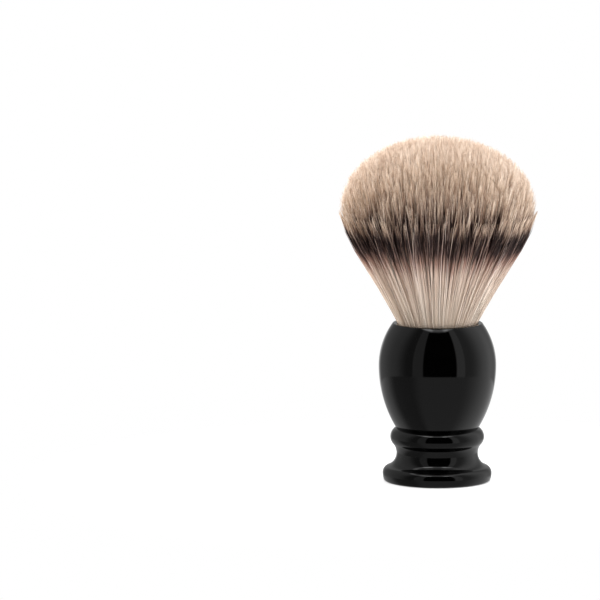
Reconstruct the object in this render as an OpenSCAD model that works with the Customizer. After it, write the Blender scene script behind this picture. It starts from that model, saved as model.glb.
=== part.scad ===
// Shaving brush: a turned, glossy resin handle with a round fibre knot set in its top.
// The origin is the centre of the foot's flat face, and +Z runs up the brush's axis.

/* [Foot and waist] */
// Radius of the foot at its widest
foot_r = 18.05; // [17.7:0.05:18.4]
// Height of the foot's widest line
foot_z = 2.6; // [2.4:0.1:2.9]
// Radius of the arc below the foot's widest line
foot_low_arc = 5.9; // [5:0.1:8]
// Radius of the arc above the foot's widest line
foot_top_arc = 2.4; // [2.2:0.1:2.6]
// Size of the bevel round the foot's flat face
foot_bevel = 0.4; // [0.2:0.1:0.6]
// Radius of the hollow round the waist, in profile
cove_arc = 4.7; // [4.5:0.1:5]
// Radius of the bead above the waist at its widest
bead_r = 15.5; // [15.2:0.1:15.8]
// Height of the bead's widest line
bead_z = 14.6; // [14.4:0.1:14.8]
// Radius of the bead's round, in profile
bead_arc = 3.4; // [3.2:0.1:3.6]

/* [Bulb] */
// Radius of the bulb at its widest
bulb_r = 19.35; // [18.8:0.05:19.9]
// Height of the bulb's widest line
bulb_z = 38.3; // [37.5:0.1:39]
// Radius of the arc from the bead up to the widest line
bulb_low_arc = 40; // [37:1:43]
// Radius of the arc from the widest line up to the rim
bulb_top_arc = 23.8; // [23:0.2:26]
// Height of the handle, foot to rim
handle_h = 52.4; // [51.8:0.1:53]
// Radius of the rim's outer rounding
rim_round = 0.5; // [0.3:0.1:0.7]
// Radius of the rim's inner rounding
lip_round = 0.3; // [0.2:0.1:0.5]

/* [Socket and knot] */
// Radius of the socket bored in the handle
socket_r = 13.4; // [13.2:0.05:13.6]
// Depth of the socket below the rim
socket_depth = 20.4; // [18.8:0.1:22]
// Thickness of the adhesive at the plug's side
glue_wall = 0.5; // [0.3:0.05:0.6]
// Thickness of the adhesive under the plug
glue_floor = 0.8; // [0.5:0.1:1.2]
// Height of the cured plug that holds the fibre roots
plug_h = 13.2; // [12:0.1:14]
// Thickness of the plug's wall round the fibres
plug_wall = 0.8; // [0.6:0.1:1]
// Thickness of the plug under the fibres' ends
plug_floor = 3.2; // [2:0.1:4]
// Thickness of the binding thread
thread_d = 0.6; // [0.4:0.05:0.7]
// Number of turns of the binding thread
thread_turns = 4; // [2:1:4]

/* [Fibres] */
// Height of the whole brush, foot to fibre tips
overall_h = 114; // [110:0.5:118]
// Radius of the fibres at their widest
tuft_r = 32.8; // [31:0.1:35]
// Height of the fibres' widest line
tuft_z = 89.4; // [87:0.1:91]
// Radius of the round between the flare and the widest line, in profile
tuft_round = 14.5; // [12:0.5:17]
// Radius from the bend's centre at which the free fibres begin
bend_r = 19.5; // [18.5:0.1:20.5]
// Gap between the fixed and the free fibres, for the bend
bend_gap = 0.3; // [0.2:0.05:0.5]

/* [Label] */
// Radius of the label under the foot
label_r = 8.65; // [7:0.05:10]
// Thickness of the label
label_t = 0.25; // [0.15:0.05:0.4]
// Gap all round the label in its recess
label_gap = 0.15; // [0.1:0.05:0.3]
// How far the label sits above the foot's flat face
label_inset = 0.05; // [0.02:0.01:0.15]

/* [Hidden] */
$fn = 96;

// Levels inside the socket
socket_floor = handle_h - socket_depth;
plug_bottom = socket_floor + glue_floor;
plug_top = plug_bottom + plug_h;
fibre_bottom = plug_bottom + plug_floor;
plug_r = socket_r - glue_wall;
fibre_r = plug_r - plug_wall;

// The fibres leave the mouth a little inside the rim
mouth_gap = 0.15;
mouth_r = socket_r - mouth_gap;
crown_h = overall_h - tuft_z;
waist_pinch = 0.1;

// The adhesive stops a little below the top of the plug
glue_drop = 0.5;

// Points on an arc of the profile, from one angle to another
function arc(centre, r, from, to, steps = 12) =
    [for (i = [0:steps]) let (a = from + (to - from) * i / steps) centre + r * [cos(a), sin(a)]];

// Where two circles of the profile cross, on the side away from the axis
function meet(c1, r1, c2, r2) =
    let (
        d = norm(c2 - c1),
        u = (c2 - c1) / d,
        a = (r1 * r1 - r2 * r2 + d * d) / (2 * d),
        h = sqrt(r1 * r1 - a * a)
    )
    c1 + a * u + h * [u[1], -u[0]];

function direction(from, to) = atan2(to[1] - from[1], to[0] - from[0]);

// From the mouth the fibres flare in a straight line, up to the round below their widest line
mouth = [mouth_r, handle_h];
tuft_round_c = [tuft_r - tuft_round, tuft_z];
flare = 90 - direction(mouth, tuft_round_c) + asin(tuft_round / norm(tuft_round_c - mouth));

// How far along the flare a sphere round the bend's centre cuts it
function flare_reach(r) = sqrt(r * r - pow(mouth_r * cos(flare), 2)) - mouth_r * sin(flare);
function flare_point(reach) = mouth + reach * [sin(flare), cos(flare)];

// Centres of the handle's arcs
foot_low_c = [foot_r - foot_low_arc, foot_z];
foot_top_c = [foot_r - foot_top_arc, foot_z];
bead_c = [bead_r - bead_arc, bead_z];
cove_c = meet(foot_top_c, foot_top_arc + cove_arc, bead_c, bead_arc + cove_arc);
bulb_low_c = [bulb_r - bulb_low_arc, bulb_z];
bulb_top_c = [bulb_r - bulb_top_arc, bulb_z];
crease = meet(bead_c, bead_arc, bulb_low_c, bulb_low_arc);
rim_z = handle_h - rim_round;
rim_c = [bulb_top_c[0] + sqrt(pow(bulb_top_arc - rim_round, 2) - pow(rim_z - bulb_z, 2)), rim_z];
lip_c = [socket_r + lip_round, handle_h - lip_round];

foot_start = asin((foot_bevel - foot_z) / foot_low_arc);
foot_to_cove = direction(foot_top_c, cove_c);
cove_to_bead = direction(cove_c, bead_c);
rim_start = direction(bulb_top_c, rim_c);
recess_r = label_r + label_gap;
recess_h = label_inset + label_t;

// One turned body: foot, waist, bead, bulb and rim, with the knot's socket and the label's recess
module handle() {
    outside = concat(
        arc(foot_low_c, foot_low_arc, foot_start, 0, 6),
        arc(foot_top_c, foot_top_arc, 0, foot_to_cove),
        arc(cove_c, cove_arc, foot_to_cove + 180, cove_to_bead, 16),
        arc(bead_c, bead_arc, cove_to_bead - 180, direction(bead_c, crease)),
        arc(bulb_low_c, bulb_low_arc, direction(bulb_low_c, crease), 0, 14),
        arc(bulb_top_c, bulb_top_arc, 0, rim_start, 14),
        arc(rim_c, rim_round, rim_start, 90, 6),
        arc(lip_c, lip_round, 90, 180, 6)
    );
    foot_edge = [outside[0][0] - foot_bevel, 0];
    color([0.015, 0.015, 0.017]) difference() {
        rotate_extrude() polygon(concat([[0, 0], foot_edge], outside, [[0, outside[len(outside) - 1][1]]]));
        translate([0, 0, socket_floor]) cylinder(r = socket_r, h = socket_depth);
        translate([0, 0, -1]) cylinder(r = recess_r, h = recess_h + 1);
    }
}

// Round label let into the foot's flat face
module base_label() {
    color([0.88, 0.89, 0.9]) translate([0, 0, label_inset]) cylinder(r = label_r, h = label_t);
}

// Cured adhesive between the plug and the socket
module socket_adhesive() {
    color([0.75, 0.68, 0.5]) translate([0, 0, socket_floor]) difference() {
        cylinder(r = socket_r, h = glue_floor + plug_h - glue_drop);
        translate([0, 0, glue_floor]) cylinder(r = plug_r, h = plug_h);
    }
}

// Cured plug that the fibre roots are set in
module knot_plug() {
    color([0.55, 0.5, 0.42]) translate([0, 0, plug_bottom]) difference() {
        cylinder(r = plug_r, h = plug_h);
        translate([0, 0, plug_floor]) cylinder(r = fibre_r, h = plug_h);
    }
}

// Turns of thread that bind the fibres just above the plug
module knot_thread() {
    clear = 0.02;
    turn_r = fibre_r + thread_d / 2 + clear;
    color([0.85, 0.82, 0.75])
        for (turn = [0:thread_turns - 1])
            translate([0, 0, plug_top + clear + thread_d / 2 + turn * (thread_d + clear)])
                rotate_extrude() translate([turn_r, 0]) circle(d = thread_d, $fn = 24);
}

// Fibres from the plug to the mouth, with the short fixed length above it
module bristle_root() {
    thread_top = plug_top + thread_turns * thread_d + waist_pinch;
    root_r = bend_r - bend_gap;
    edge = flare_point(flare_reach(root_r));
    outline = concat(
        [[0, fibre_bottom], [fibre_r, fibre_bottom], [fibre_r, thread_top], [mouth_r, handle_h]],
        arc([0, handle_h], root_r, direction([0, handle_h], edge), 90, 18)
    );
    color([0.82, 0.78, 0.72]) rotate_extrude() polygon(outline);
}

// Free fibres: a straight flare, a round and a domed crown, hollowed round the bend's centre
module bristle_tuft() {
    edge = flare_point(flare_reach(bend_r));
    outline = concat(
        arc(tuft_round_c, tuft_round, -flare, 0, 8),
        [for (a = [5:5:85]) [tuft_r * cos(a), tuft_z + crown_h * sin(a)]],
        [[0, overall_h]],
        arc([0, handle_h], bend_r, 90, direction([0, handle_h], edge), 18)
    );
    color([0.85, 0.77, 0.68]) rotate_extrude() polygon(outline);
}

handle();
base_label();
socket_adhesive();
knot_plug();
knot_thread();
bristle_root();
bristle_tuft();
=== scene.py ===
import bpy
import math
import numpy as np
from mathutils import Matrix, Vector


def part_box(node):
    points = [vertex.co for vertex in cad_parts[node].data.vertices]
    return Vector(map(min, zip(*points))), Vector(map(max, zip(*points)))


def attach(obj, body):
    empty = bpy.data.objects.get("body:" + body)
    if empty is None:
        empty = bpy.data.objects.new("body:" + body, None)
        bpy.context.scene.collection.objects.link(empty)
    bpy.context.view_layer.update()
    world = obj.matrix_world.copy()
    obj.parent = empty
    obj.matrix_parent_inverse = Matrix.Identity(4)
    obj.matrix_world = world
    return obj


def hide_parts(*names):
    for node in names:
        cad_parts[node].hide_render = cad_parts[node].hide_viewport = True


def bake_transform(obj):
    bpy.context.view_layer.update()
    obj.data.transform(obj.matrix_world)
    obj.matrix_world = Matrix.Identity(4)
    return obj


MM = 0.001

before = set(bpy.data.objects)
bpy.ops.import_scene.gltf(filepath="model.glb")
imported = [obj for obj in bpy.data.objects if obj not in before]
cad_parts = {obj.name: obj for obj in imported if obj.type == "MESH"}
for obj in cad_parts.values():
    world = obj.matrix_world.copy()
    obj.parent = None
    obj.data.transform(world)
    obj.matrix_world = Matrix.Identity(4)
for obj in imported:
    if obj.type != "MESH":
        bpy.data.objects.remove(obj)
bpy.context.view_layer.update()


# ---------------------------------------------------------------- sizes, in millimetres

# Places that the frame holds
HANDLE_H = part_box("handle")[1].z / MM
SOCKET_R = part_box("socket_adhesive")[1].x / MM
SOCKET_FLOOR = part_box("socket_adhesive")[0].z / MM
FIBRE_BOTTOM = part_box("bristle_root")[0].z / MM
THREAD_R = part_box("knot_thread")[1].x / MM
TUFT_TOP, TUFT_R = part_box("bristle_tuft")[1].z / MM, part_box("bristle_tuft")[1].x / MM
LABEL_TOP, LABEL_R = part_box("base_label")[1].z / MM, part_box("base_label")[1].x / MM

# Arcs of the handle's turned profile: (radius at the widest, height of it, radius of the arc)
FOOT_LOW, FOOT_TOP = (18.05, 2.6, 5.9), (18.05, 2.6, 2.4)
BEAD = (15.5, 14.6, 3.4)
BULB_LOW, BULB_TOP = (19.35, 38.3, 40.0), (19.35, 38.3, 23.8)
COVE_ARC = 4.7
FOOT_BEVEL, RIM_ROUND, LIP_ROUND = 0.4, 0.5, 0.3
RECESS_GAP, RECESS_BEVEL = 0.15, 0.08

# The fibres' shape: the thread binds them, they leave the mouth a little inside the rim, flare to
# TUFT_R at WIDEST_Z, and end in a dome
THREAD_ROOM = 0.64
PINCH_R = THREAD_R - THREAD_ROOM
MOUTH_R = SOCKET_R - 0.15
OUTER_FIBRE_R = MOUTH_R - 0.08
WIDEST_Z = 89.4


# ---------------------------------------------------------------- small helpers

def finished(piece, body, slot, *replaced):
    """A piece in place, riding on its body, with the CAD nodes it stands for hidden. The slot is not used.
    """
    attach(piece, body)
    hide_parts(*replaced)


def new_piece(name, points, faces, material):
    """A smooth-shaded mesh object of these points and faces."""
    mesh = bpy.data.meshes.new(name)
    mesh.from_pydata([tuple(p) for p in points], [], faces)
    mesh.polygons.foreach_set("use_smooth", [True] * len(mesh.polygons))
    mesh.materials.append(material)
    mesh.update()
    piece = bpy.data.objects.new(name, mesh)
    bpy.context.scene.collection.objects.link(piece)
    return piece


def turned(name, profile, material, around=256):
    """A solid of revolution about Z. The profile runs from the axis to the axis, in millimetres."""
    inner = np.array(profile[1:-1], float)
    angles = 2 * math.pi * np.arange(around) / around
    rings = np.stack([np.outer(inner[:, 0], np.cos(angles)), np.outer(inner[:, 0], np.sin(angles)),
                      np.repeat(inner[:, 1:2], around, axis=1)], axis=-1).reshape(-1, 3)
    low, high = len(rings), len(rings) + 1
    points = np.vstack([rings, [0, 0, profile[0][1]], [0, 0, profile[-1][1]]]) * MM
    faces = []
    for j in range(around):
        k = (j + 1) % around
        faces.append((low, k, j))
        faces += [(r * around + j, r * around + k, (r + 1) * around + k, (r + 1) * around + j)
                  for r in range(len(inner) - 1)]
        last = (len(inner) - 1) * around
        faces.append((high, last + j, last + k))
    return new_piece(name, points, faces, material)


def arc(centre, radius, start, end, steps):
    """Points on an arc of a profile, from one angle to another, in radians."""
    angles = [start + (end - start) * i / steps for i in range(steps + 1)]
    return [(centre[0] + radius * math.cos(a), centre[1] + radius * math.sin(a)) for a in angles]


def meet(c1, r1, c2, r2):
    """Where two circles of a profile cross, on the side away from the axis."""
    d = math.dist(c1, c2)
    ux, uz = (c2[0] - c1[0]) / d, (c2[1] - c1[1]) / d
    a = (r1 * r1 - r2 * r2 + d * d) / (2 * d)
    h = math.sqrt(r1 * r1 - a * a)
    return c1[0] + a * ux + h * uz, c1[1] + a * uz - h * ux


def heading(start, end):
    """The angle from one point of a profile to another, in radians."""
    return math.atan2(end[1] - start[1], end[0] - start[0])


# ---------------------------------------------------------------- node helpers

class Field:
    """A socket of a node tree that can be added, multiplied and so on, so that a tree reads as sums."""

    def __init__(self, tree, socket):
        self.tree, self.socket = tree, socket

    def math(self, operation, *others, clamp=False):
        node = self.tree.nodes.new("ShaderNodeMath")
        node.operation, node.use_clamp = operation, clamp
        for place, value in enumerate((self, *others)):
            feed(self.tree, node.inputs[place], value)
        return Field(self.tree, node.outputs[0])

    def __add__(self, other):
        return self.math("ADD", other)

    def __sub__(self, other):
        return self.math("SUBTRACT", other)

    def __mul__(self, other):
        return self.math("MULTIPLY", other)

    def __truediv__(self, other):
        return self.math("DIVIDE", other)

    def power(self, other):
        return self.math("POWER", other)


def feed(tree, socket, value):
    """Links a field to a socket, or sets the socket's own value."""
    if isinstance(value, Field):
        tree.links.new(value.socket, socket)
    else:
        socket.default_value = value


def add_node(tree, kind, inputs=None, **settings):
    """A new node with these settings and inputs."""
    node = tree.nodes.new(kind)
    for name, value in settings.items():
        setattr(node, name, value)
    for name, value in (inputs or {}).items():
        feed(tree, node.inputs[name], value)
    return node


def out(tree, node, name=0):
    return Field(tree, node.outputs[name])


def vector(tree, x, y, z):
    return out(tree, add_node(tree, "ShaderNodeCombineXYZ", {0: x, 1: y, 2: z}))


def vector_sum(tree, operation, a, b):
    """One vector operation on two values. For SCALE, the second is a number."""
    node = tree.nodes.new("ShaderNodeVectorMath")
    node.operation = operation
    feed(tree, node.inputs[0], a)
    feed(tree, node.inputs["Scale" if operation == "SCALE" else 1], b)
    return out(tree, node)


def length_of(tree, value):
    node = add_node(tree, "ShaderNodeVectorMath", {0: value}, operation="LENGTH")
    return out(tree, node, "Value")


# ---------------------------------------------------------------- materials

def new_material(name):
    """A material, its node tree and its shader."""
    material = bpy.data.materials.new(name)
    material.use_nodes = True
    tree = material.node_tree
    return material, tree, tree.nodes["Principled BSDF"]


def object_point(tree):
    return Field(tree, tree.nodes.new("ShaderNodeTexCoord").outputs["Object"])


def noise(tree, place, scale, detail=2.0, roughness=0.5):
    node = add_node(tree, "ShaderNodeTexNoise", {"Vector": place, "Scale": scale, "Detail": detail,
                                                 "Roughness": roughness})
    return out(tree, node, "Fac")


def ramp(tree, value, stops):
    """A colour ramp. stops is [(place, colour)], with each colour as (r, g, b)."""
    node = tree.nodes.new("ShaderNodeValToRGB")
    feed(tree, node.inputs["Fac"], value)
    elements = node.color_ramp.elements
    while len(elements) < len(stops):
        elements.new(0.5)
    for element, (place, colour) in zip(elements, stops):
        element.position = place
        element.color = (*colour, 1.0)
    return out(tree, node, "Color")


def mixed(tree, factor, a, b, blend="MIX"):
    """Two colours mixed. Each is a field, or (r, g, b)."""
    node = tree.nodes.new("ShaderNodeMix")
    node.data_type, node.blend_type = "RGBA", blend
    feed(tree, node.inputs["Factor"], factor)
    for name, value in (("A", a), ("B", b)):
        socket = [s for s in node.inputs if s.name == name and s.type == "RGBA"][0]
        feed(tree, socket, value if isinstance(value, Field) else (*value, 1.0))
    return Field(tree, [s for s in node.outputs if s.type == "RGBA"][0])


def mapped(tree, value, low, high, new_low, new_high):
    """A value moved from one range to another, and kept within it."""
    node = add_node(tree, "ShaderNodeMapRange", {"Value": value, "From Min": low, "From Max": high,
                                                 "To Min": new_low, "To Max": new_high})
    return out(tree, node, "Result")


def bumped(tree, shader, height, strength, distance):
    """A fine relief on a shader's surface."""
    node = add_node(tree, "ShaderNodeBump", {"Height": height, "Strength": strength, "Distance": distance})
    tree.links.new(node.outputs["Normal"], shader.inputs["Normal"])


def black_resin():
    """Cast and polished black resin: deep, with a clear gloss, a faint cloud in its tone and rubbed patches.
    """
    material, tree, shader = new_material("black_resin")
    place = object_point(tree)
    cloud = noise(tree, place, 60.0, 3.0)
    colour = mixed(tree, cloud, (0.0002, 0.0002, 0.0002), (0.0006, 0.0006, 0.0006))
    tree.links.new(colour.socket, shader.inputs["Base Color"])
    rubbed = noise(tree, place, 140.0, 5.0, 0.6)
    feed(tree, shader.inputs["Roughness"], mapped(tree, rubbed, 0.35, 0.75, 0.035, 0.075))
    shader.inputs["IOR"].default_value = 1.5
    shader.inputs["Specular IOR Level"].default_value = 0.5
    return material


# The label's print: (radius in the middle, half width) of each ring, and its dashes and petals
OUTER_RING, DASH_RING, INNER_RING, HUB_RING = (7.75, 0.09), (6.6, 0.42), (5.35, 0.07), (0.55, 0.2)
DASHES, DASH_SHARE = 24.0, 0.42
PETALS, PETAL_R, PETAL_DEPTH, PETAL_LINE = 8.0, 2.9, 0.5, 0.1


def label_foil():
    """Satin white foil with printed rings, a ring of short dashes and a plain ring of petals."""
    material, tree, shader = new_material("label_foil")
    place = object_point(tree)
    apart = add_node(tree, "ShaderNodeSeparateXYZ", {0: place})
    x, y = out(tree, apart, "X"), out(tree, apart, "Y")
    radius = (x * x + y * y).math("SQRT") / MM
    turn = y.math("ARCTAN2", x) / (2 * math.pi)

    def ring(middle, half):
        return (radius - middle).math("ABSOLUTE").math("LESS_THAN", half)

    dash = (turn * DASHES).math("FRACT").math("LESS_THAN", DASH_SHARE)
    outline = (turn * 2 * math.pi * PETALS).math("COSINE") * PETAL_DEPTH + PETAL_R
    petal = (radius - outline).math("ABSOLUTE").math("LESS_THAN", PETAL_LINE)
    print_mask = (ring(*OUTER_RING) + dash * ring(*DASH_RING) + ring(*INNER_RING)
                  + petal + ring(*HUB_RING)).math("MINIMUM", 1.0)
    grain = noise(tree, vector(tree, x * 900.0, y * 60.0, 0.0), 1.0, 3.0)
    foil = mixed(tree, grain, (0.78, 0.79, 0.81), (0.88, 0.88, 0.89))
    colour = mixed(tree, print_mask, foil, (0.42, 0.38, 0.33))
    tree.links.new(colour.socket, shader.inputs["Base Color"])
    feed(tree, shader.inputs["Roughness"], mapped(tree, grain, 0.3, 0.7, 0.3, 0.42))
    return material


def clouded(name, light, dark, rough, scale=300.0):
    """A plain cured or fibrous material of two mingled tones."""
    material, tree, shader = new_material(name)
    cloud = noise(tree, object_point(tree), scale, 4.0, 0.6)
    tree.links.new(mixed(tree, cloud, dark, light).socket, shader.inputs["Base Color"])
    feed(tree, shader.inputs["Roughness"], mapped(tree, cloud, 0.3, 0.7, rough * 0.85, rough * 1.1))
    bumped(tree, shader, cloud, 0.3, 0.0002)
    return material


# The colour of a fibre along its length: distance from the mouth in millimetres, and colour. The darker
# first stop is painted shade where the fibres crowd into the mouth
FIBRE_LENGTH = 64.0
FIBRE_COLOURS = [
    (0.0, (0.60, 0.51, 0.42)),
    (8.0, (0.76, 0.66, 0.56)),
    (20.5, (0.73, 0.60, 0.51)),
    (25.8, (0.41, 0.255, 0.205)),
    (30.3, (0.060, 0.033, 0.030)),
    (39.3, (0.029, 0.017, 0.017)),
    (42.2, (0.14, 0.088, 0.072)),
    (46.0, (0.53, 0.40, 0.31)),
    (51.0, (0.78, 0.63, 0.49)),
    (57.5, (0.86, 0.72, 0.58)),
    (61.0, (0.92, 0.81, 0.70)),
]
# The darkest tone of a lock of fibres along its length, as a share of the colour: each lock's own tone, and
# painted shade between the locks that is deepest in the band and below the tips
LOCK_TONE_AND_PAINTED_SHADE = [
    (0.0, (0.80, 0.74, 0.70)),
    (24.0, (0.72, 0.64, 0.60)),
    (36.0, (0.36, 0.27, 0.23)),
    (51.0, (0.38, 0.29, 0.24)),
    (60.0, (0.60, 0.51, 0.45)),
]
# The colour of the paler fibres that stand among the others, along their length
FIBRE_PALE = [
    (0.0, (0.84, 0.77, 0.69)),
    (20.0, (0.84, 0.74, 0.66)),
    (28.0, (0.44, 0.31, 0.28)),
    (37.5, (0.52, 0.38, 0.32)),
    (44.5, (0.86, 0.73, 0.62)),
    (58.0, (0.97, 0.88, 0.77)),
]


def fibre_material():
    """Tipped fibre: ivory root with painted shade at the mouth, dark band and cream tip. Each fibre has its
    own tone, and each lock its own tone with painted shade.
    """
    material, tree, shader = new_material("tipped_fibre")
    reach, tone, lock = (out(tree, add_node(tree, "ShaderNodeAttribute", attribute_name=name), "Fac")
                         for name in ("reach", "tone", "lock"))
    along = reach / FIBRE_LENGTH
    common = ramp(tree, along, [(place / FIBRE_LENGTH, colour) for place, colour in FIBRE_COLOURS])
    pale = ramp(tree, along, [(place / FIBRE_LENGTH, colour) for place, colour in FIBRE_PALE])
    chosen = mixed(tree, mapped(tree, tone, 0.78, 0.94, 0.0, 1.0), common, pale)
    second_tone = (tone * 7.0).math("FRACT")
    lightness = mapped(tree, second_tone, 0.0, 0.6, 0.0, 1.0)
    by_fibre = mixed(tree, lightness, (0.66, 0.58, 0.53), (1.0, 1.0, 1.0))
    # Each lock is darkened by its own tone and by painted shade between the locks
    shade = ramp(tree, along, [(place / FIBRE_LENGTH, colour) for place, colour in LOCK_TONE_AND_PAINTED_SHADE])
    by_lock = mixed(tree, lock, shade, (1.0, 1.0, 1.0))
    colour = mixed(tree, 1.0, mixed(tree, 1.0, chosen, by_fibre, "MULTIPLY"), by_lock, "MULTIPLY")
    tree.links.new(colour.socket, shader.inputs["Base Color"])
    shader.inputs["Roughness"].default_value = 0.42
    shader.inputs["Specular IOR Level"].default_value = 0.35
    return material


# ---------------------------------------------------------------- handle

def centre_of(widest, height, radius):
    """The centre of an arc of the handle's profile."""
    return widest - radius, height


def foot_and_bead():
    """The lower outline: the foot, the hollow above it and the bead, up to the crease over the bead."""
    foot_low, foot_top, bead = centre_of(*FOOT_LOW), centre_of(*FOOT_TOP), centre_of(*BEAD)
    cove = meet(foot_top, FOOT_TOP[2] + COVE_ARC, bead, BEAD[2] + COVE_ARC)
    crease = meet(bead, BEAD[2], centre_of(*BULB_LOW), BULB_LOW[2])
    start = math.asin((FOOT_BEVEL - FOOT_LOW[1]) / FOOT_LOW[2])
    outline = (arc(foot_low, FOOT_LOW[2], start, 0, 10)
               + arc(foot_top, FOOT_TOP[2], 0, heading(foot_top, cove), 24)[1:]
               + arc(cove, COVE_ARC, heading(foot_top, cove) + math.pi, heading(cove, bead), 30)[1:]
               + arc(bead, BEAD[2], heading(cove, bead) - math.pi, heading(bead, crease), 30)[1:])
    return outline, crease


def bulb_and_rim(crease):
    """The upper outline: the bulb, the rim's outer rounding and the lip of the socket."""
    low, high = centre_of(*BULB_LOW), centre_of(*BULB_TOP)
    rim_z = HANDLE_H - RIM_ROUND
    rim = (high[0] + math.sqrt((BULB_TOP[2] - RIM_ROUND) ** 2 - (rim_z - high[1]) ** 2), rim_z)
    lip = (SOCKET_R + LIP_ROUND, HANDLE_H - LIP_ROUND)
    return (arc(low, BULB_LOW[2], heading(low, crease), 0, 30)[1:]
            + arc(high, BULB_TOP[2], 0, heading(high, rim), 24)[1:]
            + arc(rim, RIM_ROUND, heading(high, rim), math.pi / 2, 10)[1:]
            + arc(lip, LIP_ROUND, math.pi / 2, math.pi, 8))


def handle_profile():
    """The turned outline from the recess under the foot, up the outside, and down into the socket."""
    lower, crease = foot_and_bead()
    recess = LABEL_R + RECESS_GAP
    edge = lower[0][0] - FOOT_BEVEL
    under = [(0, LABEL_TOP), (recess, LABEL_TOP), (recess, RECESS_BEVEL), (recess + RECESS_BEVEL, 0),
             (edge - 0.1, 0), (edge, 0.02)]
    return under + lower + bulb_and_rim(crease) + [(SOCKET_R, SOCKET_FLOOR), (0, SOCKET_FLOOR)]


def sharpen(piece, angle):
    """Keeps edges steeper than the angle crisp on a smooth piece."""
    bpy.context.view_layer.objects.active = piece
    piece.select_set(True)
    bpy.ops.object.shade_smooth_by_angle(angle=angle, keep_sharp_edges=False)
    piece.select_set(False)


def make_handle():
    """The turned body, in place of the CAD handle."""
    piece = turned("handle_body", handle_profile(), black_resin())
    sharpen(piece, math.radians(38))
    finished(piece, "handle", "handle_resin", "handle")


def make_root_bundle():
    """The fibres packed in the socket, up to just under the mouth."""
    top, shoulder, top_gap = HANDLE_H - 1.2, HANDLE_H - 3.5, 0.35
    profile = [(0, FIBRE_BOTTOM), (PINCH_R, FIBRE_BOTTOM), (PINCH_R, shoulder),
               (MOUTH_R - top_gap, top), (0, top)]
    packed = clouded("packed_fibre", (0.6, 0.55, 0.47), (0.35, 0.3, 0.25), 0.6)
    piece = turned("root_bundle", profile, packed, 96)
    finished(piece, "handle", "fibre", "bristle_root")


# ---------------------------------------------------------------- fibres

# The knot is a sunflower spiral of fibres, cut into rings. A fibre has a few straight segments and sides
RINGS = 9
FIBRES_PER_RING = 5200
SEGMENTS = 6
SIDES = 3
GOLDEN_ANGLE = math.pi * (3 - math.sqrt(5))


def random_field(tree, low, high, seed, offset):
    """A random number for each fibre, with its own offset from the ring's seed."""
    node = add_node(tree, "FunctionNodeRandomValue", data_type="FLOAT")
    sockets = [s for s in node.inputs if s.enabled]
    feed(tree, sockets[0], low)
    feed(tree, sockets[1], high)
    feed(tree, sockets[-1], seed + offset)
    return Field(tree, [s for s in node.outputs if s.enabled][0])


def bell(tree, seed, offset):
    """A random number about 0, seldom beyond -1 or 1, for each fibre."""
    first, second, third = (random_field(tree, -0.8, 0.8, seed, offset + more) for more in range(3))
    return (first + second + third) / 2.0


def kept(tree, geometry, name, value, kind="FLOAT"):
    """Stores a field on the points under a name."""
    node = add_node(tree, "GeometryNodeStoreNamedAttribute", {"Name": name}, data_type=kind, domain="POINT")
    tree.links.new(geometry.socket, node.inputs["Geometry"])
    feed(tree, [s for s in node.inputs if s.name == "Value" and s.enabled][0], value)
    return out(tree, node, "Geometry")


def named(tree, name, kind="FLOAT"):
    """A field that was stored on the points under a name."""
    node = add_node(tree, "GeometryNodeInputNamedAttribute", {"Name": name}, data_type=kind)
    return Field(tree, [s for s in node.outputs if s.enabled][0])


# The tree's named inputs. Lengths are in millimetres, and Pull, Lean and Scatter say how loose the knot is
FIBRE_INPUTS = [
    ("Count", "NodeSocketInt", FIBRES_PER_RING),
    ("First", "NodeSocketInt", 0),
    ("Total", "NodeSocketInt", RINGS * FIBRES_PER_RING),
    ("Seed", "NodeSocketInt", 7),
    ("Segments", "NodeSocketInt", SEGMENTS),
    ("Fibre Radius", "NodeSocketFloat", 0.11),
    ("Mouth Radius", "NodeSocketFloat", OUTER_FIBRE_R),
    ("Mouth Height", "NodeSocketFloat", HANDLE_H),
    ("Root Depth", "NodeSocketFloat", 1.6),
    ("Widest Radius", "NodeSocketFloat", TUFT_R),
    ("Widest Height", "NodeSocketFloat", WIDEST_Z),
    ("Crown Height", "NodeSocketFloat", TUFT_TOP - WIDEST_Z),
    ("Tip Scatter", "NodeSocketFloat", 0.16),
    ("Length Scatter", "NodeSocketFloat", 0.7),
    ("Edge Round", "NodeSocketFloat", 0.6),
    ("Lock Size", "NodeSocketFloat", 0.28),
    ("Lock Pull", "NodeSocketFloat", 0.72),
    ("Lock Lean", "NodeSocketFloat", 0.9),
    ("Lock Shortening", "NodeSocketFloat", 2.6),
    ("Lock Band Scatter", "NodeSocketFloat", 3.4),
    ("Bow", "NodeSocketFloat", 1.5),
    ("Sway", "NodeSocketFloat", 0.4),
    ("Band Scatter", "NodeSocketFloat", 1.6),
    ("Pale Tip", "NodeSocketFloat", 3.3),
    # Painted side light: how much farther the pale tip reaches down at the knot's left and right sides
    ("Painted Side Light", "NodeSocketFloat", 13.5),
    ("Patch Size", "NodeSocketFloat", 1.7),
    ("Patch Scatter", "NodeSocketFloat", 11.0),
    ("Material", "NodeSocketMaterial", None),
]


def group_inputs(tree):
    """The tree's named inputs, as fields."""
    tree.interface.new_socket(name="Geometry", in_out="OUTPUT", socket_type="NodeSocketGeometry")
    for name, kind, value in FIBRE_INPUTS:
        socket = tree.interface.new_socket(name=name, in_out="INPUT", socket_type=kind)
        if value is not None:
            socket.default_value = value
    given = tree.nodes.new("NodeGroupInput")
    return {name: Field(tree, given.outputs[name]) for name, _, _ in FIBRE_INPUTS}


def place_roots(tree, size):
    """Where each fibre stands: a sunflower spiral. Gives its share of the full radius and its direction."""
    index = out(tree, tree.nodes.new("GeometryNodeInputIndex")) + size["First"]
    share = ((index + random_field(tree, 0.1, 0.9, size["Seed"], 11)) / size["Total"]).power(0.5)
    turn = index * GOLDEN_ANGLE + random_field(tree, -0.012, 0.012, size["Seed"], 12)
    return share, vector(tree, turn.math("COSINE"), turn.math("SINE"), 0.0)


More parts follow.
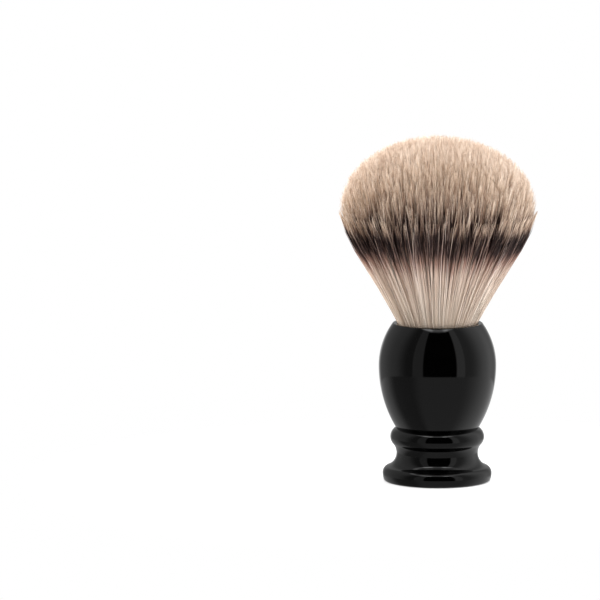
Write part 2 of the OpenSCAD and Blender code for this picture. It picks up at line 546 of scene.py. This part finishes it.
def nearest_lock(tree, size, foot):
    """The middle of the lock that a fibre belongs to, three numbers that its fibres share, and its lean."""
    node = add_node(tree, "ShaderNodeTexVoronoi", {"Vector": foot, "Scale": size["Lock Size"].power(-1.0)})
    middle = out(tree, node, "Position")
    apart = add_node(tree, "ShaderNodeSeparateXYZ", {0: out(tree, node, "Color")})
    chance = out(tree, add_node(tree, "ShaderNodeTexWhiteNoise", {"Vector": middle}), "Color")
    lean = vector_sum(tree, "MULTIPLY", vector_sum(tree, "SUBTRACT", chance, vector(tree, 0.5, 0.5, 0.5)),
                      vector(tree, size["Lock Lean"] * 2.0, size["Lock Lean"] * 2.0, 0.0))
    return middle, [out(tree, apart, axis) for axis in "XYZ"], lean


def loose_step(tree, size, offset, reach, flat=False):
    """A small random step of its own for each fibre, level if it is flat."""
    steps = [bell(tree, size["Seed"], offset + 10 * axis) * reach for axis in range(2 if flat else 3)]
    return vector(tree, *steps, *([0.0] if flat else []))


def crown_place(tree, size, spot):
    """Where on the crown a spot of the mouth's plane comes out."""
    apart = length_of(tree, spot)
    share = (apart / size["Mouth Radius"]).math("MINIMUM", 1.0)
    scale = share * size["Widest Radius"] / apart.math("MAXIMUM", 0.001)
    rise = (share * share * -1.0 + 1.0).power(0.5) * size["Crown Height"]
    return vector_sum(tree, "ADD", vector_sum(tree, "SCALE", spot, scale),
                      vector(tree, 0.0, 0.0, rise + size["Widest Height"]))


def fibre_start(tree, size, share, radial):
    """Where a fibre comes out: a little below the mouth, where the flare is narrower."""
    slope = (size["Widest Radius"] - size["Mouth Radius"]) / (size["Widest Height"] - size["Mouth Height"])
    radius = share * (size["Mouth Radius"] - slope * size["Root Depth"])
    return vector_sum(tree, "ADD", vector_sum(tree, "SCALE", radial, radius),
                      vector(tree, 0.0, 0.0, size["Mouth Height"] - size["Root Depth"]))


def fibre_tip(tree, size, foot, middle, lean):
    """Where a fibre ends: on the crown, drawn to the middle of its lock, and leaning with it."""
    pull = vector_sum(tree, "SCALE", vector_sum(tree, "SUBTRACT", middle, foot), size["Lock Pull"])
    stray = random_field(tree, 0.0, 1.0, size["Seed"], 13).power(24.0) * 4.0 + 1.0
    loose = loose_step(tree, size, 20, size["Tip Scatter"] * stray, flat=True)
    spot = vector_sum(tree, "ADD", vector_sum(tree, "ADD", foot, pull), vector_sum(tree, "ADD", lean, loose))
    return crown_place(tree, size, spot)


def band_shift(tree, size, foot, band):
    """How far the band is moved along a fibre: by its own chance, with its lock, and in broad patches."""
    patch = noise(tree, vector_sum(tree, "SCALE", foot, size["Patch Size"].power(-1.0)), 1.0)
    return (bell(tree, size["Seed"], 70) * size["Band Scatter"]
            + (band - 0.4 - band.power(5.0) * 2.2) * size["Lock Band Scatter"]
            + (patch - 0.5) * size["Patch Scatter"])


def pale_tip_and_painted_side_light(tree, size, share, radial):
    """How far the pale tip reaches down a fibre, and farther at the knot's left and right sides than in
    front, which is painted side light.
    """
    aside = out(tree, add_node(tree, "ShaderNodeSeparateXYZ", {0: radial}), "X").math("ABSOLUTE")
    return aside.power(1.5) * share.power(2.5) * size["Painted Side Light"] + size["Pale Tip"]


def aim_fibres(tree, size, points):
    """Stores each fibre's start, run, bow and the way its tip gathers, and what its colours need."""
    seed = size["Seed"]
    share, radial = place_roots(tree, size)
    foot = vector_sum(tree, "SCALE", radial, share * size["Mouth Radius"])
    middle, (lock, short, band), lean = nearest_lock(tree, size, foot)

    start = fibre_start(tree, size, share, radial)
    top = crown_place(tree, size, foot)
    run = vector_sum(tree, "SUBTRACT", top, start)
    gather = vector_sum(tree, "SUBTRACT", fibre_tip(tree, size, foot, middle, lean), top)
    longer = (bell(tree, seed, 50) * size["Length Scatter"] - short * short * size["Lock Shortening"]
              - share.power(20.0) * size["Edge Round"])
    run = vector_sum(tree, "SCALE", run, longer / length_of(tree, run) + 1.0)

    bow = vector_sum(tree, "ADD", vector_sum(tree, "SCALE", radial, share * size["Bow"]),
                     loose_step(tree, size, 90, size["Sway"]))
    for name, value in (("start", start), ("run", run), ("bow", bow), ("gather", gather)):
        points = kept(tree, points, name, value, "FLOAT_VECTOR")
    # pale holds how far the pale tip reaches, with painted side light at the knot's sides
    for name, value in (("lock", lock), ("shift", band_shift(tree, size, foot, band)),
                        ("pale", pale_tip_and_painted_side_light(tree, size, share, radial)),
                        ("tone", random_field(tree, 0.0, 1.0, seed, 60)),
                        ("thickness", random_field(tree, 0.75, 1.2, seed, 80))):
        points = kept(tree, points, name, value)
    return points


def one_line_each(tree, size, points):
    """One straight line on each point."""
    line = tree.nodes.new("GeometryNodeCurvePrimitiveLine")
    cut = add_node(tree, "GeometryNodeResampleCurve", {"Count": size["Segments"] + 1.0})
    tree.links.new(line.outputs[0], cut.inputs["Curve"])
    placed = tree.nodes.new("GeometryNodeInstanceOnPoints")
    tree.links.new(points.socket, placed.inputs["Points"])
    tree.links.new(cut.outputs[0], placed.inputs["Instance"])
    lines = tree.nodes.new("GeometryNodeRealizeInstances")
    tree.links.new(placed.outputs[0], lines.inputs[0])
    return out(tree, lines)


def bend_lines(tree, size, lines, along):
    """Lays each line along its own fibre, and stores how far from the mouth each of its points is."""
    step = vector_sum(tree, "SCALE", named(tree, "run", "FLOAT_VECTOR"), along)
    swell = (along.power(2.2) * math.pi).math("SINE")
    bow = vector_sum(tree, "SCALE", named(tree, "bow", "FLOAT_VECTOR"), swell)
    gather = vector_sum(tree, "SCALE", named(tree, "gather", "FLOAT_VECTOR"), along.power(3.0))
    place = vector_sum(tree, "ADD", vector_sum(tree, "ADD", named(tree, "start", "FLOAT_VECTOR"), step),
                       vector_sum(tree, "ADD", bow, gather))
    moved = add_node(tree, "GeometryNodeSetPosition", {"Position": place})
    tree.links.new(lines.socket, moved.inputs["Geometry"])
    length = length_of(tree, named(tree, "run", "FLOAT_VECTOR"))
    # Near the tip, the reach runs ahead by the pale tip and the painted side light
    reach = (length * along + along.power(7.0) * named(tree, "pale") - size["Root Depth"]
             + named(tree, "shift"))
    return kept(tree, out(tree, moved, "Geometry"), "reach", reach)


def thicken(tree, size, curves, along):
    """Makes each line a closed fibre: thin at the root, full in the middle and fine at the tip."""
    taper = (along.power(1.6) * math.pi * 0.93).math("SINE") * 0.42 + 0.58
    fine = ((along * -1.0 + 1.0) * 3.2 + 0.22).math("MINIMUM", 1.0)
    width = taper * fine * named(tree, "thickness") * size["Fibre Radius"]
    section = add_node(tree, "GeometryNodeCurvePrimitiveCircle", {"Resolution": SIDES, "Radius": 1.0})
    tube = add_node(tree, "GeometryNodeCurveToMesh", {"Fill Caps": True, "Scale": width})
    tree.links.new(curves.socket, tube.inputs["Curve"])
    tree.links.new(section.outputs[0], tube.inputs["Profile Curve"])
    return out(tree, tube)


def fibre_tree():
    """Fibres of one ring of the knot: each runs from the mouth to the crown, fanned out from the axis."""
    tree = bpy.data.node_groups.new("fibre_ring", "GeometryNodeTree")
    size = group_inputs(tree)
    points = out(tree, add_node(tree, "GeometryNodePoints", {"Count": size["Count"]}))
    lines = one_line_each(tree, size, aim_fibres(tree, size, points))
    along = out(tree, tree.nodes.new("GeometryNodeSplineParameter"), "Factor")
    tubes = thicken(tree, size, bend_lines(tree, size, lines, along), along)

    whole = add_node(tree, "GeometryNodeTransform", {"Scale": (MM, MM, MM)})
    tree.links.new(tubes.socket, whole.inputs["Geometry"])
    real = tree.nodes.new("GeometryNodeRealizeInstances")
    tree.links.new(whole.outputs[0], real.inputs[0])
    painted = add_node(tree, "GeometryNodeSetMaterial", {"Material": size["Material"]})
    tree.links.new(real.outputs[0], painted.inputs["Geometry"])
    tree.links.new(painted.outputs[0], tree.nodes.new("NodeGroupOutput").inputs["Geometry"])
    return tree


# Fibres side by side in the texture layout
UV_COLUMNS = 512


def lay_out(mesh):
    """A texture layout with a narrow upright strip for each fibre, its root at the bottom."""
    per_fibre = (SEGMENTS + 1) * SIDES
    corner = np.empty(len(mesh.loops), int)
    mesh.loops.foreach_get("vertex_index", corner)
    fibre, place = corner // per_fibre, corner % per_fibre
    across = np.where((place % SIDES) == 1, 0.85, 0.15)
    along = 0.03 + 0.94 * (place // SIDES) / SEGMENTS
    rows = math.ceil(FIBRES_PER_RING / UV_COLUMNS)
    layout = np.stack([(fibre % UV_COLUMNS + across) / UV_COLUMNS,
                       (fibre // UV_COLUMNS + along) / rows], axis=1)
    layer = mesh.uv_layers.new(name="OFBake")
    layer.data.foreach_set("uv", layout.ravel())


def grown_mesh(tree, values):
    """The tree's result for these inputs, as a plain mesh."""
    holder = bpy.data.objects.new("holder", bpy.data.meshes.new("holder"))
    bpy.context.scene.collection.objects.link(holder)
    modifier = holder.modifiers.new("fibres", "NODES")
    modifier.node_group = tree
    identifiers = {s.name: s.identifier for s in tree.interface.items_tree if s.in_out == "INPUT"}
    for name, value in values.items():
        modifier[identifiers[name]] = value
    graph = bpy.context.evaluated_depsgraph_get()
    mesh = bpy.data.meshes.new_from_object(holder.evaluated_get(graph), depsgraph=graph)
    bpy.data.objects.remove(holder)
    return mesh


def make_fibres(tree, material, ring):
    """One ring of fibres. The last ring hides the CAD tuft."""
    mesh = grown_mesh(tree, {
        "First": ring * FIBRES_PER_RING, "Seed": 100 + ring * 100, "Material": material})
    name = f"fibre_ring_{ring + 1}"
    mesh.name = name
    mesh.polygons.foreach_set("use_smooth", [True] * len(mesh.polygons))
    for gone in ("start", "run", "bow", "gather", "shift", "pale", "thickness"):
        mesh.attributes.remove(mesh.attributes[gone])
    lay_out(mesh)
    piece = bpy.data.objects.new(name, mesh)
    bpy.context.scene.collection.objects.link(piece)
    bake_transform(piece)
    if ring == RINGS - 1:
        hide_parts("bristle_tuft")


# ---------------------------------------------------------------- floor, light and camera

def make_floor():
    """A round, pale table top that melts into the white round it."""
    around, radius = 128, 142 * MM
    turns = [2 * math.pi * k / around for k in range(around)]
    points = [(radius * math.cos(turn), radius * math.sin(turn), 0.0) for turn in turns]
    material, tree, shader = new_material("pale_table")
    shader.inputs["Base Color"].default_value = (0.6, 0.6, 0.6, 1.0)
    shader.inputs["Roughness"].default_value = 0.6
    apart = length_of(tree, object_point(tree))
    feed(tree, shader.inputs["Alpha"], mapped(tree, apart, 30 * MM, 140 * MM, 0.7, 0.0))
    floor = new_piece("floor", points, [tuple(range(around))], material)
    floor.visible_glossy = False


def area_light(name, place, aim, size, power):
    """A wide soft light that gloss doesn't show. size is (width, height) in metres."""
    data = bpy.data.lights.new(name, "AREA")
    data.shape, data.size, data.size_y = "RECTANGLE", size[0], size[1]
    data.energy = power
    lamp = bpy.data.objects.new(name, data)
    lamp.location = place
    lamp.rotation_euler = (Vector(aim) - Vector(place)).to_track_quat("-Z", "Y").to_euler()
    lamp.visible_glossy = False
    bpy.context.scene.collection.objects.link(lamp)


def between(tree, value, low, high):
    """A soft step from 0 to 1, as value goes from low to high."""
    node = add_node(tree, "ShaderNodeMapRange", {"Value": value, "From Min": low, "From Max": high},
                    interpolation_type="SMOOTHSTEP")
    return out(tree, node, "Result")


def studio_directions(tree):
    """The azimuth, from 0 in front to 180 at the back, and the rise above the horizon, in degrees."""
    facing = out(tree, tree.nodes.new("ShaderNodeTexCoord"), "Generated")
    apart = add_node(tree, "ShaderNodeSeparateXYZ", {0: facing})
    x, y, z = (out(tree, apart, axis) for axis in "XYZ")
    return x.math("ARCTAN2", y * -1.0) * (180 / math.pi), z.math("ARCSINE") * (180 / math.pi)


def studio_walls(tree, azimuth, rise, right, left):
    """The walls: two lit sides, each with a dimmer stretch, and a bright back."""
    leftward, aside = azimuth * -1.0, azimuth.math("ABSOLUTE")
    back = between(tree, aside, 150, 164) * (between(tree, rise, -2, 4) * -0.8 + 1.0)
    return (right * 0.5 - between(tree, azimuth, 53, 56) * 0.22 + between(tree, azimuth, 66, 105) * 0.44
            - between(tree, azimuth, 118, 150) * 0.4
            + left * 0.28 - between(tree, leftward, 50, 53) * 0.16
            + between(tree, leftward, 62, 95) * 0.26 - between(tree, leftward, 118, 150) * 0.1
            + back * 0.4)


def studio_table(tree, azimuth):
    """The table, as the gloss sees it below the horizon."""
    leftward = azimuth * -1.0
    table = between(tree, azimuth, 50, 110) * 0.4 + between(tree, leftward, 95, 125) * 0.3
    return table - between(tree, leftward, 32, 60) * 0.14 + 0.31


def studio_above(tree, azimuth, rise, right):
    """The light overhead: a strip that is brighter at the front corners, and the soft box above it."""
    aside = azimuth.math("ABSOLUTE")
    strip = between(tree, rise, 56, 61) * (between(tree, rise, 63, 69) * -1.0 + 1.0)
    corners = between(tree, aside, 14, 26) * (between(tree, aside, 48, 70) * -1.0 + 1.0)
    return strip * (corners * 2.4 + 1.2) * (right * -0.35 + 1.0) + between(tree, rise, 66, 74) * 0.53


def studio_glow(tree):
    """How bright the studio is in each direction, for the gloss and for the soft light on the fibres."""
    azimuth, rise = studio_directions(tree)
    right = between(tree, azimuth, 35, 39)
    left = between(tree, azimuth * -1.0, 28, 32)
    walls = studio_walls(tree, azimuth, rise, right, left)
    table = studio_table(tree, azimuth)
    sides = walls + (table - walls) * between(tree, rise * -1.0, 11.3, 12.7)
    above = studio_above(tree, azimuth, rise, right)
    wash = between(tree, azimuth.math("ABSOLUTE"), 15, 60) * 2.1 + right * 0.5 + left * 0.9 + 0.42
    return sides.math("MAXIMUM", above), wash


def make_light():
    """A soft studio: dim walls at both sides of a dark gap in front, a bright back and a light overhead."""
    world = bpy.data.worlds.new("studio")
    bpy.context.scene.world = world
    world.use_nodes = True
    tree = world.node_tree
    tree.nodes.clear()
    mirrored, wash = studio_glow(tree)
    path = tree.nodes.new("ShaderNodeLightPath")
    seen, soft = out(tree, path, "Is Camera Ray"), out(tree, path, "Is Diffuse Ray")
    strength = mirrored + (wash - mirrored) * soft
    strength = strength + (strength * -1.0 + 1.0) * seen
    room = add_node(tree, "ShaderNodeBackground", {"Color": (1, 1, 1, 1), "Strength": strength})
    output = tree.nodes.new("ShaderNodeOutputWorld")
    tree.links.new(room.outputs[0], output.inputs["Surface"])

    # Wide lights for the fibres, which the gloss of the handle doesn't show
    middle = (0, 0, 0.08)
    area_light("fill_front", (-0.25, -1.0, 0.9), middle, (0.9, 0.7), 14.5)
    area_light("fill_top", (0.3, 0.35, 1.2), middle, (0.9, 0.9), 24.0)


def make_camera():
    """A long lens, a little above the brush, which stands right of the middle of the view."""
    elevation = math.radians(7.4)
    distance = 1.7
    width = 197.3 * MM
    data = bpy.data.cameras.new("camera")
    data.sensor_width = 36.0
    data.lens = data.sensor_width * distance / width
    back = Vector((0, -math.cos(elevation), math.sin(elevation)))
    aim = Vector((-45.27 * MM, 0, 59.9 * MM))
    camera = bpy.data.objects.new("camera", data)
    camera.location = aim + back * distance
    camera.rotation_euler = (-back).to_track_quat("-Z", "Y").to_euler()
    data.clip_start, data.clip_end = 0.05, 20.0
    bpy.context.scene.collection.objects.link(camera)
    bpy.context.scene.camera = camera


# ---------------------------------------------------------------- the whole brush

make_camera()
make_light()
make_floor()
bpy.context.scene.view_settings.view_transform = "Standard"

make_handle()
make_root_bundle()
fibres = fibre_tree()
tipped = fibre_material()
for ring in range(RINGS):
    make_fibres(fibres, tipped, ring)

CAD_FINISHES = {
    "base_label": label_foil(),
    "socket_adhesive": clouded("cured_adhesive", (0.75, 0.66, 0.45), (0.6, 0.5, 0.32), 0.25),
    "knot_plug": clouded("plug_resin", (0.48, 0.42, 0.34), (0.36, 0.31, 0.25), 0.5),
    "knot_thread": clouded("waxed_thread", (0.8, 0.76, 0.68), (0.6, 0.56, 0.48), 0.7, 1500.0),
}
for node, material in CAD_FINISHES.items():
    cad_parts[node].data.materials.clear()
    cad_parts[node].data.materials.append(material)
